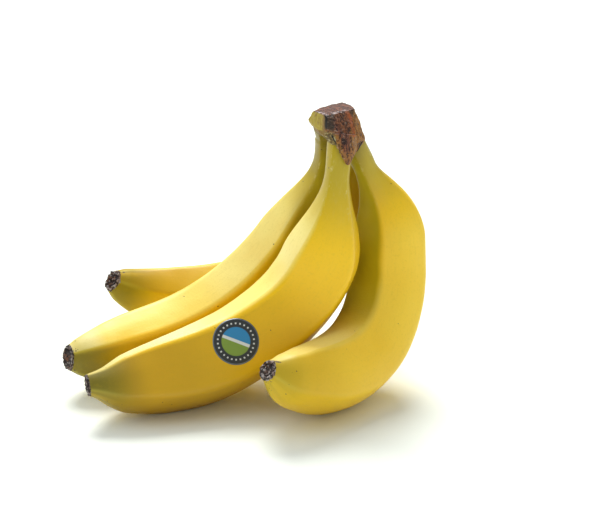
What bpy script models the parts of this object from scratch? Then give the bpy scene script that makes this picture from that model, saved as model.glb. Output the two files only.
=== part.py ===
"""A bunch of four bananas, standing on its bellies with the crown on top.

Four curved fruits hang from one woody crown. Three of them touch the table with the lowest
stretch of their backs, so the bunch stands on its own. The crown's dried skin hangs over two
of the necks, and a small round paper label sits on the middle fruit.
Units are metres, +Z is up, and the origin is on the table under the middle of the bunch.
"""

import math

import bmesh
import bpy
from mathutils import Vector
from mathutils.bvhtree import BVHTree

# Places below are measured from the spot on the table under the crown's left end. The whole
# bunch is then moved so that the origin lies under the middle of its box.
BUNCH_MIDDLE = Vector((-0.0256, 0.0135, 0.0))
TABLE = 0.0
SEAT_GAP = 0.0004         # clear space between the crown and the necks that it sits on

# Fruit: a curved body swept along its spine, from a thin neck to a blunt blossom end
NECK_RADIUS = 0.0053
BODY_RADIUS = 0.0182
BLOSSOM_RADIUS = 0.0062
NECK_END = 0.10           # share of the length where the neck starts to swell
FULLEST = 0.58            # share of the length where the body is thickest
SHOULDER_LEAN = 0.12      # how much thinner the body would be at the crown's end
TAPER_POWER = 2.5
SHIFT_SPAN = 0.36         # share of the length over which a shoulder stands off its spine
STUB_LENGTH = 0.0025      # dried stub of the flower
STUB_RADIUS = 0.0058
SCAR_RIM = 0.0013
SCAR_DEPTH = 0.0012       # hollow inside the stub's rim

# Section: five ridges, at these turns from the back of the curve, in degrees
RIDGES = (5, 75, 138, 202, 287)
FLATNESS = 0.62           # 0 is a round section, 1 has flat faces between the ridges
RIDGE_OUTSET = 0.045      # keeps the width of the ridged section on the nominal one
SIDES_PER_FACE = 5
BODY_RINGS = 28
TIP_RINGS = 8
TIP_SHARE = 0.86          # share of the length where the rings get closer
ARC_SAMPLES = 240

# Each spine is a Bezier curve from the crown to the blossom end. Turn and twist roll the
# ridges, in degrees; the shoulder shift moves the shoulder towards the back of the curve.
FRUITS = {
    "banana_upper": {
        "spine": ((0.0120, 0.0060, 0.1235), (0.0155, 0.0220, 0.1060), (0.0065, 0.0355, 0.0715),
                  (-0.0145, 0.0345, 0.0340), (-0.0540, 0.0155, 0.0115), (-0.1090, -0.0125, 0.0185)),
        "girth": 0.94,
        "turn": 10,
        "twist": -6,
        "shoulder_shift": -0.0003,
        "shoulder_end": 0.34,
        "taper_start": 0.76,
    },
    "banana_middle": {
        "spine": ((0.0185, -0.0065, 0.1285), (0.0175, -0.0180, 0.0995), (0.0130, -0.0025, 0.0630),
                  (0.0050, 0.0025, 0.0320), (-0.0310, -0.0200, 0.0105), (-0.0970, -0.0470, 0.0190)),
        "girth": 1.10,
        "turn": -4,
        "twist": -31,
        "shoulder_shift": 0.0013,
        "shoulder_end": 0.30,
        "taper_start": 0.63,
    },
    "banana_front": {
        "spine": ((0.0230, 0.0030, 0.1235), (0.0365, 0.0180, 0.0905), (0.0545, 0.0295, 0.0610),
                  (0.0440, 0.0130, 0.0175), (0.0285, -0.0275, 0.0005), (-0.0135, -0.0630, 0.0325)),
        "girth": 1.01,
        "turn": 4,
        "twist": 9,
        "shoulder_shift": 0.0025,
        "shoulder_end": 0.32,
        "taper_start": 0.72,
    },
    "banana_back": {
        "spine": ((0.0215, 0.0180, 0.1205), (0.0320, 0.0435, 0.0825), (0.0220, 0.0645, 0.0420),
                  (-0.0120, 0.0825, 0.0100), (-0.0610, 0.0885, 0.0020), (-0.0940, 0.0655, 0.0300)),
        "girth": 0.96,
        "turn": 7,
        "twist": 10,
        "shoulder_shift": 0.0025,
        "shoulder_end": 0.33,
        "taper_start": 0.69,
    },
}
NECK_OVERRUN = 0.006      # how far a neck runs up before the crown's seat cuts it

# Crown: a cut block whose slanting seat rests on the four necks
SEAT_CENTRE = Vector((0.0180, 0.0, 0.1238))
SEAT_SLOPE = -0.20        # rise of the seat for each step to the right
CROWN_TOP = 0.136
TOP_CORNERS = ((0.0060, -0.0015), (0.0110, -0.0085), (0.0155, -0.0070), (0.0240, 0.0010),
               (0.0225, 0.0085), (0.0190, 0.0140), (0.0140, 0.0095), (0.0092, 0.0035))
SIDE_CORNERS = ((0.0041, -0.0005, 0.1315), (0.0109, -0.0090, 0.1290), (0.0160, -0.0130, 0.1290))
SEAT_CORNERS = ((0.0062, 0.0060), (0.0080, -0.0020), (0.0120, -0.0110), (0.0160, -0.0148),
                (0.0215, -0.0142), (0.0268, -0.0070), (0.0296, 0.0010), (0.0292, 0.0065),
                (0.0262, 0.0150), (0.0225, 0.0215), (0.0165, 0.0225), (0.0120, 0.0170),
                (0.0070, 0.0105))

# Tongues: dried skin that hangs from the crown over a neck. A row is the share of the fruit's
# length, and the turns of its two edges from the front towards the right, in degrees.
TONGUE_THICKNESS = 0.0013
TONGUE_GAP = 0.0006
TONGUE_SIDES = 8
TONGUES = {
    "banana_middle": ((0.012, -25, 95), (0.030, -8, 88), (0.045, 5, 80), (0.060, 16, 52),
                      (0.073, 26, 34)),
    "banana_front": ((0.004, -75, 50), (0.016, -72, 40), (0.028, -66, 5), (0.036, -60, -25)),
}

# Label: a thin round of paper on the face between two ridges of the middle fruit
LABEL_FRUIT = "banana_middle"
LABEL_CENTRE = Vector((-0.0295, -0.0330, 0.0350))
LABEL_NORMAL = Vector((0.14, -0.86, 0.48))
LABEL_RADIUS = 0.0105
LABEL_THICKNESS = 0.0006
LABEL_GAP = 0.0005
LABEL_RINGS = 3
LABEL_SIDES = 28

PEEL_COLOUR = (0.80, 0.58, 0.07)
CROWN_COLOUR = (0.13, 0.05, 0.025)
LABEL_COLOUR = (0.035, 0.035, 0.04)


def clear_scene():
    for item in list(bpy.data.objects):
        bpy.data.objects.remove(item, do_unlink=True)


def make_material(name, colour, roughness):
    material = bpy.data.materials.new(name)
    material.use_nodes = True
    surface = material.node_tree.nodes["Principled BSDF"]
    surface.inputs["Base Color"].default_value = (*colour, 1.0)
    surface.inputs["Roughness"].default_value = roughness
    surface.inputs["Metallic"].default_value = 0.0
    material.diffuse_color = (*colour, 1.0)
    return material


def smoothstep(low, high, value):
    share = min(max((value - low) / (high - low), 0.0), 1.0)
    return share * share * (3.0 - 2.0 * share)


def bezier_point(points, share):
    row = [Vector(p) for p in points]
    while len(row) > 1:
        row = [a.lerp(b, share) for a, b in zip(row, row[1:])]
    return row[0]


class Spine:
    """A Bezier curve read by its arc length, with a frame that stays in the plane of the bend."""

    def __init__(self, points):
        self.samples = [bezier_point(points, i / ARC_SAMPLES) for i in range(ARC_SAMPLES + 1)]
        self.travel = [0.0]
        for a, b in zip(self.samples, self.samples[1:]):
            self.travel.append(self.travel[-1] + (b - a).length)
        self.length = self.travel[-1]
        first, last = self.samples[0], self.samples[-1]
        bulge = max(self.samples, key=lambda p: (p - first).cross(last - first).length)
        self.side = (bulge - first).cross(last - bulge).normalized()

    def point(self, share):
        """The point at a share of the length; before the start the curve runs on straight."""
        goal = share * self.length
        if goal <= 0.0:
            start = self.samples[0]
            return start + (self.samples[1] - start).normalized() * goal
        for i in range(ARC_SAMPLES):
            if self.travel[i + 1] >= goal or i == ARC_SAMPLES - 1:
                span = self.travel[i + 1] - self.travel[i]
                return self.samples[i].lerp(self.samples[i + 1], (goal - self.travel[i]) / span)

    def along(self, share):
        step = 0.01
        return (self.point(min(share + step, 1.0)) - self.point(share - step)).normalized()

    def bend_frame(self, share):
        """The outer side of the bend, and the side across it."""
        along = self.along(share)
        side = (self.side - along * self.side.dot(along)).normalized()
        return along.cross(side), side

    def front_frame(self, share):
        """The front of the fruit, and its right."""
        along = self.along(share)
        front = Vector((0.0, -1.0, 0.0))
        front = (front - along * front.dot(along)).normalized()
        return front, front.cross(along)


def girth_at(share, spec):
    """The nominal radius at a share of the fruit's length."""
    start = spec["taper_start"]
    body = BODY_RADIUS * (1.0 - SHOULDER_LEAN * max(1.0 - share / FULLEST, 0.0))
    swell = smoothstep(NECK_END, spec["shoulder_end"], share)
    taper = max((share - start) / (1.0 - start), 0.0) ** TAPER_POWER
    radius = NECK_RADIUS + (body - NECK_RADIUS) * swell - (body - BLOSSOM_RADIUS) * taper
    return radius * spec["girth"]


def section_corners():
    """Turn and outset of each corner of the ridged section, the same number on each face."""
    corners = []
    for i, start in enumerate(RIDGES):
        end = RIDGES[(i + 1) % len(RIDGES)]
        if end < start:
            end += 360
        half = math.radians(end - start) / 2
        for j in range(SIDES_PER_FACE):
            off_middle = half * (2 * j / SIDES_PER_FACE - 1)
            flat = math.cos(half) / math.cos(off_middle)
            turn = math.radians(start) + half + off_middle
            corners.append((turn, 1.0 + RIDGE_OUTSET - FLATNESS * (1.0 - flat)))
    return corners


def ring_points(spec, spine, share, radius, roundness=0.0):
    outer, side = spine.bend_frame(share)
    along_shift = min(max((share - NECK_END) / SHIFT_SPAN, 0.0), 1.0)
    shift = spec["shoulder_shift"] * math.sin(math.pi * along_shift) ** 2
    centre = spine.point(share) + outer * shift - BUNCH_MIDDLE
    roll = math.radians(spec["turn"] + spec["twist"] * (share - 0.5))
    points = []
    for turn, outset in section_corners():
        reach = radius * (outset + (1.0 - outset) * roundness)
        ray = outer * math.cos(turn + roll) + side * math.sin(turn + roll)
        points.append(centre + ray * reach)
    return points


def ring_shares(length):
    """Shares of the length for the rings, from the overrun neck to the start of the stub."""
    body = [TIP_SHARE * i / BODY_RINGS for i in range(BODY_RINGS)]
    tip_end = 1.0 - STUB_LENGTH / length
    tip = [TIP_SHARE + (tip_end - TIP_SHARE) * i / TIP_RINGS for i in range(TIP_RINGS + 1)]
    return [-NECK_OVERRUN / length] + body + tip


def add_loop(mesh, points):
    corners = [mesh.verts.new(p) for p in points]
    return [mesh.edges.new((a, b)) for a, b in zip(corners, corners[1:] + corners[:1])]


def skin_loops(mesh, loops):
    """Closes a stack of loops into one body."""
    for first, second in zip(loops, loops[1:]):
        bmesh.ops.bridge_loops(mesh, edges=first + second)
    bmesh.ops.contextual_create(mesh, geom=loops[0])
    bmesh.ops.contextual_create(mesh, geom=loops[-1])


def cut_away(mesh, point, normal):
    """Cuts off all that lies past a plane, and closes the cut."""
    geometry = mesh.verts[:] + mesh.edges[:] + mesh.faces[:]
    cut = bmesh.ops.bisect_plane(mesh, geom=geometry, dist=1e-6, plane_co=point,
                                 plane_no=normal, clear_outer=True)
    rim = [e for e in cut["geom_cut"] if isinstance(e, bmesh.types.BMEdge)]
    if rim:
        bmesh.ops.contextual_create(mesh, geom=rim)


def seat_height(x):
    return SEAT_CENTRE.z + SEAT_SLOPE * (x - SEAT_CENTRE.x)


def finish_object(name, mesh, material):
    bmesh.ops.recalc_face_normals(mesh, faces=mesh.faces)
    data = bpy.data.meshes.new(name)
    mesh.to_mesh(data)
    mesh.free()
    data.materials.append(material)
    data.shade_smooth()
    data.set_sharp_from_angle(angle=math.radians(35))
    item = bpy.data.objects.new(name, data)
    bpy.context.scene.collection.objects.link(item)
    return item


def make_fruit(name, spec, material):
    spine = Spine(spec["spine"])
    mesh = bmesh.new()
    loops = []
    for share in ring_shares(spine.length):
        points = ring_points(spec, spine, share, girth_at(share, spec))
        loops.append(add_loop(mesh, points))
    # the stub ends in a rim round a shallow hollow
    along = spine.along(1.0)
    for inset, sink in ((0.0, 0.0), (SCAR_RIM, 0.0), (2 * SCAR_RIM, SCAR_DEPTH)):
        points = ring_points(spec, spine, 1.0, STUB_RADIUS - inset, roundness=1.0)
        loops.append(add_loop(mesh, [p - along * sink for p in points]))
    skin_loops(mesh, loops)
    seat_normal = Vector((-SEAT_SLOPE, 0.0, 1.0)).normalized()
    cut_away(mesh, SEAT_CENTRE - BUNCH_MIDDLE - seat_normal * SEAT_GAP, seat_normal)
    cut_away(mesh, Vector((0.0, 0.0, TABLE)), Vector((0.0, 0.0, -1.0)))
    return finish_object(name, mesh, material)


def make_tongue(name, rows, material):
    """A curved strip of skin that follows one neck, narrowing to its end."""
    spec = FRUITS[name]
    spine = Spine(spec["spine"])
    mesh = bmesh.new()
    loops = []
    for share, left, right in rows:
        centre = spine.point(share) - BUNCH_MIDDLE
        front, across = spine.front_frame(share)
        inner = girth_at(share, spec) * (1.0 + RIDGE_OUTSET) + TONGUE_GAP
        turns = [math.radians(left + (right - left) * i / TONGUE_SIDES)
                 for i in range(TONGUE_SIDES + 1)]
        rays = [front * math.cos(a) + across * math.sin(a) for a in turns]
        outer_arc = [centre + r * (inner + TONGUE_THICKNESS) for r in rays]
        inner_arc = [centre + r * inner for r in reversed(rays)]
        loops.append(add_loop(mesh, outer_arc + inner_arc))
    skin_loops(mesh, loops)
    return finish_object("tongue_" + name, mesh, material)


def make_crown(material):
    mesh = bmesh.new()
    corners = [Vector((x, y, CROWN_TOP)) for x, y in TOP_CORNERS]
    corners += [Vector(p) for p in SIDE_CORNERS]
    corners += [Vector((x, y, seat_height(x))) for x, y in SEAT_CORNERS]
    for corner in corners:
        mesh.verts.new(corner - BUNCH_MIDDLE)
    bmesh.ops.convex_hull(mesh, input=mesh.verts)
    crown = finish_object("crown", mesh, material)
    for name, rows in TONGUES.items():
        tongue = make_tongue(name, rows, material)
        tongue.hide_render = True
        tongue.display_type = "WIRE"
        join = crown.modifiers.new("join_" + name, "BOOLEAN")
        join.operation = "UNION"
        join.solver = "EXACT"
        join.object = tongue
    return crown


def make_label(fruit, material):
    """A disc laid on the fruit: each of its points is dropped onto the peel."""
    peel = BVHTree.FromPolygons([v.co.copy() for v in fruit.data.vertices],
                                [tuple(p.vertices) for p in fruit.data.polygons])
    normal = LABEL_NORMAL.normalized()
    across = Vector((0.0, 0.0, 1.0)).cross(normal).normalized()
    upward = normal.cross(across)
    middle = LABEL_CENTRE - BUNCH_MIDDLE

    def on_peel(radius, turn, height):
        place = middle + across * radius * math.cos(turn) + upward * radius * math.sin(turn)
        hit = peel.ray_cast(place + normal * BODY_RADIUS, -normal)
        return hit[0] + normal * height

    mesh = bmesh.new()
    loops = []
    heights = (LABEL_GAP, LABEL_GAP + LABEL_THICKNESS)
    radii = [LABEL_RADIUS * (i + 1) / LABEL_RINGS for i in range(LABEL_RINGS)]
    for height, row in ((heights[0], radii), (heights[1], radii[::-1])):
        for radius in row:
            turns = [2 * math.pi * i / LABEL_SIDES for i in range(LABEL_SIDES)]
            loops.append(add_loop(mesh, [on_peel(radius, a, height) for a in turns]))
    skin_loops(mesh, loops)
    return finish_object("label", mesh, material)


def main():
    clear_scene()
    peel = make_material("peel", PEEL_COLOUR, 0.45)
    crown_skin = make_material("crown_skin", CROWN_COLOUR, 0.75)
    label_paper = make_material("label_paper", LABEL_COLOUR, 0.35)
    fruits = {name: make_fruit(name, spec, peel) for name, spec in FRUITS.items()}
    make_crown(crown_skin)
    make_label(fruits[LABEL_FRUIT], label_paper)


main()
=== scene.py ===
import math

import bmesh
import bpy
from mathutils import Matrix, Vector, noise
from mathutils.bvhtree import BVHTree
from mathutils.kdtree import KDTree


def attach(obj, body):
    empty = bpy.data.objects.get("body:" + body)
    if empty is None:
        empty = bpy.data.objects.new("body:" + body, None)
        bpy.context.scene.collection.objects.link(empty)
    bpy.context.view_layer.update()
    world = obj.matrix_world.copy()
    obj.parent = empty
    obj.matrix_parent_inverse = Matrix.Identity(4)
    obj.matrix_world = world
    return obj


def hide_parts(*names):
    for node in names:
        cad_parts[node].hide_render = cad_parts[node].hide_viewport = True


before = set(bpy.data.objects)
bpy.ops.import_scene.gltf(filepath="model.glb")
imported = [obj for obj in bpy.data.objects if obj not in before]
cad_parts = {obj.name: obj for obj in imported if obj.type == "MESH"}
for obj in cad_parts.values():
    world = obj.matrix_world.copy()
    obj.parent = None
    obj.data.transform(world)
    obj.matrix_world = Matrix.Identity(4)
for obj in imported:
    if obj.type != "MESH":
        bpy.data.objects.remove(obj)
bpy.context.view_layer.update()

# A bunch of four bananas on a pale studio floor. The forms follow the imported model:
# the same spines, sections and crown corners, made finer, with their skins and marks.

bunchMiddle = Vector((-0.0256, 0.0135, 0.0))   # moves the listed points onto the frame's origin


# Small helpers

def smoothStep(low, high, value):
    share = min(max((value - low) / (high - low), 0.0), 1.0)
    return share * share * (3.0 - 2.0 * share)


def hump(value, start, span):
    # rises from 0 to 1 and falls back to 0 over the span
    return math.sin(math.pi * min(max((value - start) / span, 0.0), 1.0)) ** 2


def lumps(point, size, seed=0.0):
    # soft noise from -1 to 1, with lumps about this many metres wide
    return noise.noise(point / size + Vector((seed, 2.0 * seed, 5.0 * seed)))


def segmentDistance(point, start, end):
    along = end - start
    share = min(max((point - start).dot(along) / along.length_squared, 0.0), 1.0)
    return (point - start.lerp(end, share)).length


def onScreen(red, green, blue):
    # a colour as a screen shows it, from 0 to 255, turned into scene light
    steps = [value / 255.0 for value in (red, green, blue)]
    light = [s / 12.92 if s < 0.04 else ((s + 0.055) / 1.055) ** 2.4 for s in steps]
    return (*light, 1.0)


def meshObject(name, mesh, material, node):
    bmesh.ops.recalc_face_normals(mesh, faces=mesh.faces)
    data = bpy.data.meshes.new(name)
    mesh.to_mesh(data)
    mesh.free()
    data.materials.append(material)
    data.shade_smooth()
    piece = bpy.data.objects.new(name, data)
    bpy.context.scene.collection.objects.link(piece)
    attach(piece, "root")
    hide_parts(node)
    print("made", name, "with", len(data.polygons), "faces")
    return piece


def floatLayer(mesh, name):
    return mesh.verts.layers.float.get(name) or mesh.verts.layers.float.new(name)


# Shader maths

class Wire:
    # a node's output that can stand in a Python expression
    def __init__(self, shader, socket):
        self.shader = shader
        self.socket = socket

    def maths(self, operation, first, second=0.0, clamp=False):
        settings = {"operation": operation, "use_clamp": clamp}
        return self.shader.node("ShaderNodeMath", settings, {0: first, 1: second})

    def __add__(self, other):
        return self.maths("ADD", self, other)

    def __radd__(self, other):
        return self.maths("ADD", other, self)

    def __sub__(self, other):
        return self.maths("SUBTRACT", self, other)

    def __rsub__(self, other):
        return self.maths("SUBTRACT", other, self)

    def __mul__(self, other):
        return self.maths("MULTIPLY", self, other)

    def __rmul__(self, other):
        return self.maths("MULTIPLY", other, self)

    def clamped(self):
        return self.maths("ADD", self, 0.0, clamp=True)

    def highest(self, other):
        return self.maths("MAXIMUM", self, other)

    def size(self):
        return self.maths("ABSOLUTE", self)

    def wave(self):
        return self.maths("COSINE", self)

    def above(self, low, high):
        # 0 below low, 1 above high, smooth between
        settings = {"interpolation_type": "SMOOTHSTEP", "clamp": True}
        sockets = {"Value": self, "From Min": low, "From Max": high}
        return self.shader.node("ShaderNodeMapRange", settings, sockets)

    def below(self, low, high):
        return 1.0 - self.above(low, high)


class Shader:
    # a material's node tree; one method makes any node
    def __init__(self, name):
        self.material = bpy.data.materials.new(name)
        self.material.use_nodes = True
        self.tree = self.material.node_tree
        self.tree.nodes.clear()

    def node(self, kind, settings=None, sockets=None, output=0):
        made = self.tree.nodes.new(kind)
        for name, value in (settings or {}).items():
            setattr(made, name, value)
        for name, value in (sockets or {}).items():
            if isinstance(value, Wire):
                self.tree.links.new(value.socket, made.inputs[name])
            else:
                made.inputs[name].default_value = value
        return Wire(self, made.outputs[output]) if made.outputs else None

    def objectPlace(self):
        return self.node("ShaderNodeTexCoord", output=3)

    def vectorLayer(self, name):
        return self.node("ShaderNodeAttribute", {"attribute_name": name}, output=1)

    def valueLayer(self, name):
        return self.node("ShaderNodeAttribute", {"attribute_name": name}, output=2)

    def stretched(self, vector, scale):
        return self.node("ShaderNodeVectorMath", {"operation": "MULTIPLY"}, {0: vector, 1: scale})

    def shifted(self, vector, offset):
        return self.node("ShaderNodeVectorMath", {"operation": "ADD"}, {0: vector, 1: offset})

    def distance(self, vector, point):
        return self.node("ShaderNodeVectorMath", {"operation": "DISTANCE"}, {0: vector, 1: point}, output=1)

    def noise(self, vector, scale, detail=2.0, roughness=0.5):
        sockets = {"Vector": vector, "Scale": scale, "Detail": detail, "Roughness": roughness}
        return self.node("ShaderNodeTexNoise", None, sockets)

    def cells(self, vector, scale, output=0):
        return self.node("ShaderNodeTexVoronoi", None, {"Vector": vector, "Scale": scale}, output=output)

    def mix(self, factor, first, second):
        return self.node("ShaderNodeMix", {"data_type": "RGBA"}, {0: factor, 6: first, 7: second}, output=2)

    def bump(self, height):
        # the height is in metres
        return self.node("ShaderNodeBump", None, {"Height": height, "Distance": 1.0, "Strength": 1.0})

    def finish(self, sockets):
        skin = self.node("ShaderNodeBsdfPrincipled", None, sockets)
        self.node("ShaderNodeOutputMaterial", None, {"Surface": skin})
        return self.material


# Camera: the photo's view, with a long lens and 19 degrees above level

cameraSetup = {
    "target": Vector((0.0256, -0.0135, 0.0620)),
    "distance": 1.0,
    "elevation": 19.0,
    "sensor": 36.0,          # mm
    "widthAtTarget": 0.282,  # metres across the picture at the target
}


def makeCamera(setup):
    tilt = math.radians(setup["elevation"])
    forward = Vector((0.0, math.cos(tilt), -math.sin(tilt)))
    data = bpy.data.cameras.new("camera")
    data.sensor_width = setup["sensor"]
    data.lens = setup["sensor"] * setup["distance"] / setup["widthAtTarget"]
    camera = bpy.data.objects.new("camera", data)
    camera.location = setup["target"] - forward * setup["distance"]
    camera.rotation_euler = forward.to_track_quat("-Z", "Y").to_euler()
    bpy.context.scene.collection.objects.link(camera)
    bpy.context.scene.camera = camera


# Floor and lights: a pale table in a white room, with a soft key from above and behind, a broad
# fill from the front right and a side light from the left

studio = {
    "floorSize": 3.0,
    "floorDrop": 0.0002,
    "floorColour": (0.87, 0.925, 0.87, 1.0),
    "floorRoughness": 0.9,
    "roomColour": (1.0, 1.0, 1.0, 1.0),
    "roomStrength": 0.10,
    "lights": {
        # name: the way it comes from, its breadth in degrees, its strength
        "key": (Vector((-0.06, 0.66, 0.75)), 34.0, 3.82),
        "fill": (Vector((0.69, -0.50, 0.53)), 130.0, 1.42),
        "side": (Vector((-0.72, 0.12, 0.68)), 70.0, 1.42),
    },
}


def makeStudio(setup):
    mesh = bmesh.new()
    bmesh.ops.create_grid(mesh, x_segments=2, y_segments=2, size=setup["floorSize"])
    bmesh.ops.translate(mesh, verts=mesh.verts, vec=(0.0, 0.0, -setup["floorDrop"]))
    shader = Shader("paleFloor")
    data = bpy.data.meshes.new("floor")
    mesh.to_mesh(data)
    mesh.free()
    paint = shader.finish({"Base Color": setup["floorColour"], "Roughness": setup["floorRoughness"]})
    data.materials.append(paint)
    floor = bpy.data.objects.new("floor", data)
    bpy.context.scene.collection.objects.link(floor)
    for name, (origin, breadth, strength) in setup["lights"].items():
        lamp = bpy.data.lights.new(name, "SUN")
        lamp.angle = math.radians(breadth)
        lamp.energy = strength
        holder = bpy.data.objects.new(name, lamp)
        holder.location = origin
        holder.rotation_euler = (-origin).to_track_quat("-Z", "Y").to_euler()
        bpy.context.scene.collection.objects.link(holder)
    world = bpy.data.worlds.new("room")
    world.use_nodes = True
    sky = world.node_tree.nodes["Background"]
    sky.inputs["Color"].default_value = setup["roomColour"]
    sky.inputs["Strength"].default_value = setup["roomStrength"]
    bpy.context.scene.world = world
    bpy.context.scene.view_settings.view_transform = "Standard"


# Fruits: a ridged section swept along a spine, from the thin neck to the blossom end

fruitShape = {
    "neckRadius": 0.0053,
    "bodyRadius": 0.0182,
    "blossomRadius": 0.0062,
    "neckEnd": 0.10,          # share of the length where the neck starts to swell
    "fullest": 0.58,
    "shoulderLean": 0.12,
    "taperPower": 2.5,
    "shiftStart": 0.10,
    "tipShiftStart": 0.86,
    "ridges": (5, 75, 138, 202, 287),   # degrees from the back of the curve
    "length": 0.195,          # about the length of a spine
    "closingPower": 1.7,
    "neckRoundness": 0.5,     # how much rounder the neck and the tip are than the body
    "neckRounding": (0.08, 0.36),
    "tipRoundness": 0.6,
    "tipRounding": (0.80, 0.98),
    "tiltSpan": (0.95, 1.0),
    "ridgeOutset": 0.062,
    "ridgeRounding": 5.0,     # degrees each side of a ridge
    "sides": 110,
    "ringStep": 0.0011,
    "tipStep": 0.0005,
    "tipShare": 0.88,
    "arcSamples": 240,
    "neckOverrun": 0.006,
    "unevenness": 0.00022,
    "swellSizes": (0.022, 0.008),
    "stubLength": 0.0014,
    "stubRoughness": 0.00042,
    "stubCell": 0.0014,       # the dried lumps' breadth
    "crumpleSizes": (0.0022, 0.0010),
    "riseSize": 0.0017,
    "rimRoundness": 0.3,      # at the edge of the dried end, then on it
    "rimRoughness": 0.1,
    "stubRoundness": 0.6,
    "stubMargin": 0.0005,
    "collarEnd": 0.017,       # the neck is a little thicker up to here
    "collarLean": 0.008,
    "collarFade": 0.004,
    # how far the painted shade between the fruits reaches, and where on the neck it reaches further
    "creviceShadeReach": 0.011,
    "creviceShadeNeck": (0.36, 0.16),
}
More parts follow.
